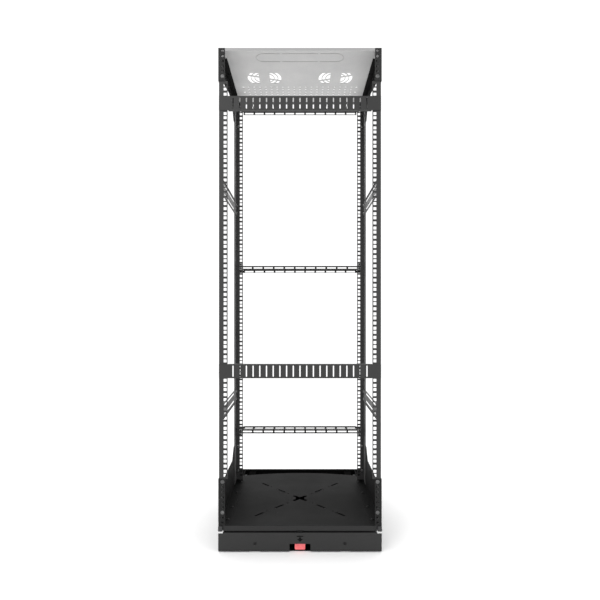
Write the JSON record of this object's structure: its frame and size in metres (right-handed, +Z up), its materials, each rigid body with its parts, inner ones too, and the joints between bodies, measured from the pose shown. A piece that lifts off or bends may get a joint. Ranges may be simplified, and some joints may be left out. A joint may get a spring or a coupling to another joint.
{
  "type": "rotating equipment rack",
  "caption": "Open 19-inch equipment rack on a turning deck and a slide-out base, with slotted bars, lacing bars, a perforated top and a foot-operated latch.",
  "frame": {"origin": "middle of the footprint on the floor", "axes": "+Z up, -Y out of the front, +X to the right seen from the front"},
  "size_m": [0.508, 0.6154, 1.562],
  "materials": {
    "frame_black": "black powder coat",
    "side_black": "black powder coat",
    "bar_black": "black powder coat",
    "deck_black": "black powder coat",
    "fascia_black": "black powder coat",
    "base_black": "black powder coat",
    "top_grey": "light grey powder coat",
    "cap_black": "moulded",
    "paddle_red": "moulded",
    "slide_zinc": "black zinc plated",
    "ring_steel": "turned",
    "ball_chrome": "polished",
    "cage_brass": "stamped",
    "spring_steel": "bright wire",
    "bolt_zinc": "zinc plated",
    "bolt_dark": "dark zinc",
    "screw_black": "black oxide",
    "bumper_rubber": "moulded"
  },
  "bodies": {
    "base": {"base_pan": "base_black", "slide_outer_left": "slide_zinc", "slide_outer_right": "slide_zinc", "pan_rivets": "slide_zinc", "latch_keeper": "slide_zinc", "rear_bumpers": "bumper_rubber"},
    "middle_slide_left": {"slide_middle_left": "slide_zinc"},
    "outer_cage_left": {"outer_ball_cage_left": "cage_brass"},
    "inner_cage_left": {"inner_ball_cage_left": "cage_brass"},
    "middle_slide_right": {"slide_middle_right": "slide_zinc"},
    "outer_cage_right": {"outer_ball_cage_right": "cage_brass"},
    "inner_cage_right": {"inner_ball_cage_right": "cage_brass"},
    "carriage": {"carriage_plate": "base_black", "slide_inner_left": "slide_zinc", "slide_inner_right": "slide_zinc", "carriage_rivets": "slide_zinc", "fascia": "fascia_black", "fascia_screws": "screw_black", "latch_bracket": "slide_zinc", "latch_pin": "spring_steel", "latch_spring": "spring_steel", "turn_stop_bracket": "slide_zinc", "turn_stop_spring": "spring_steel", "bearing_lower_ring": "ring_steel", "lower_ring_screws": "screw_black"},
    "latch": {"latch_lever": "slide_zinc", "latch_paddle": "paddle_red"},
    "turn_stop": {"turn_stop_plunger": "screw_black"},
    "ball_ring": {"bearing_cage": "cage_brass", "bearing_balls": "ball_chrome"},
    "rack": {"bar_nuts": "bolt_zinc", "bearing_upper_ring": "ring_steel", "bottom_side_left": "side_black", "bottom_side_right": "side_black", "brace_screws": "screw_black", "deck_corner_caps": "cap_black", "deck_plate": "deck_black", "foot_screws": "screw_black", "frame_bolts": "bolt_dark", "frame_nuts": "bolt_zinc", "front_bar_lower": "bar_black", "front_bar_upper": "bar_black", "front_rail_left": "frame_black", "front_rail_right": "frame_black", "lacing_bar_lower": "frame_black", "lacing_bar_upper": "frame_black", "lacing_nuts": "bolt_zinc", "lacing_screws": "screw_black", "rear_rail_left": "frame_black", "rear_rail_right": "frame_black", "side_brace_lower_left": "frame_black", "side_brace_lower_right": "frame_black", "side_brace_upper_left": "frame_black", "side_brace_upper_right": "frame_black", "top_panel": "top_grey", "top_rear_channel": "frame_black", "top_rivets": "top_grey", "top_side_left": "side_black", "top_side_right": "side_black", "upper_ring_screws": "deck_black"}
  },
  "joints": [
    {"name": "slide_out", "type": "slide", "parent": "base", "child": "carriage", "axis": [0, -1, 0], "range_m": [0, 0.508]},
    {"name": "middle_slide_left_travel", "type": "slide", "parent": "base", "child": "middle_slide_left", "axis": [0, -1, 0], "range_m": [0, 0.254]},
    {"name": "outer_cage_left_travel", "type": "slide", "parent": "base", "child": "outer_cage_left", "axis": [0, -1, 0], "range_m": [0, 0.127]},
    {"name": "inner_cage_left_travel", "type": "slide", "parent": "base", "child": "inner_cage_left", "axis": [0, -1, 0], "range_m": [0, 0.381]},
    {"name": "middle_slide_right_travel", "type": "slide", "parent": "base", "child": "middle_slide_right", "axis": [0, -1, 0], "range_m": [0, 0.254]},
    {"name": "outer_cage_right_travel", "type": "slide", "parent": "base", "child": "outer_cage_right", "axis": [0, -1, 0], "range_m": [0, 0.127]},
    {"name": "inner_cage_right_travel", "type": "slide", "parent": "base", "child": "inner_cage_right", "axis": [0, -1, 0], "range_m": [0, 0.381]},
    {"name": "rack_turn", "type": "hinge", "parent": "carriage", "child": "rack", "pos_m": [0, -0.07675, 0.0665], "axis": [0, 0, 1], "range_deg": [-90, 90]},
    {"name": "ball_ring_turn", "type": "hinge", "parent": "carriage", "child": "ball_ring", "pos_m": [0, -0.07675, 0.0665], "axis": [0, 0, 1], "range_deg": [-45, 45]},
    {"name": "latch_press", "type": "hinge", "parent": "carriage", "child": "latch", "pos_m": [0, -0.28725, 0.032], "axis": [1, 0, 0], "range_deg": [0, 9], "stiffness_Nm_per_rad": 0.6, "springref_deg": -17.19},
    {"name": "turn_stop_press", "type": "slide", "parent": "carriage", "child": "turn_stop", "axis": [0, 0, -1], "range_m": [0, 0.0022], "stiffness_N_per_m": 500, "springref_m": -0.004, "deforming": ["turn_stop_spring"]}
  ],
  "couplings": [
    {"joint": "middle_slide_left_travel", "follows": "slide_out", "ratio": 0.5},
    {"joint": "outer_cage_left_travel", "follows": "slide_out", "ratio": 0.25},
    {"joint": "inner_cage_left_travel", "follows": "slide_out", "ratio": 0.75},
    {"joint": "middle_slide_right_travel", "follows": "slide_out", "ratio": 0.5},
    {"joint": "outer_cage_right_travel", "follows": "slide_out", "ratio": 0.25},
    {"joint": "inner_cage_right_travel", "follows": "slide_out", "ratio": 0.75},
    {"joint": "ball_ring_turn", "follows": "rack_turn", "ratio": 0.5}
  ]
}
